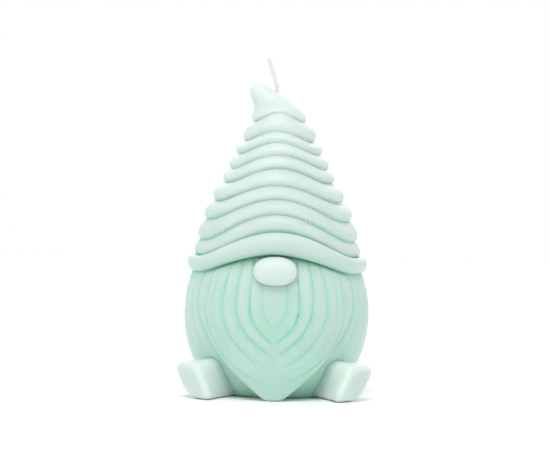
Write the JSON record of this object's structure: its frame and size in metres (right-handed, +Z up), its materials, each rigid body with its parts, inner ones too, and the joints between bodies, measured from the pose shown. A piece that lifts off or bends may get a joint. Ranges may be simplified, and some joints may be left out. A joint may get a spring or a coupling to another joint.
{
  "type": "gnome candle",
  "caption": "Cast wax candle shaped as a round gnome with a ribbed beard, a rolled hat that hides the eyes, stubby boots and a cotton wick.",
  "frame": {"origin": "foot of the body's axis, at the centre of the flat base that the candle stands on", "axes": "+Z up along the body's axis, -Y the way the gnome faces, +X towards the gnome's left hand side"},
  "size_m": [0.0778, 0.0781, 0.1338],
  "materials": {
    "wax": "cast candle wax, pale mint green, satin and slightly translucent",
    "cotton": "white braided cotton, lightly waxed",
    "tinplate": "thin stamped tinplate"
  },
  "bodies": {
    "root": {"body": "wax", "beard": "wax", "nose": "wax", "brim": "wax", "hat": "wax", "left_boot": "wax", "right_boot": "wax", "wick": "cotton", "wick_tab": "tinplate"}
  },
  "joints": []
}
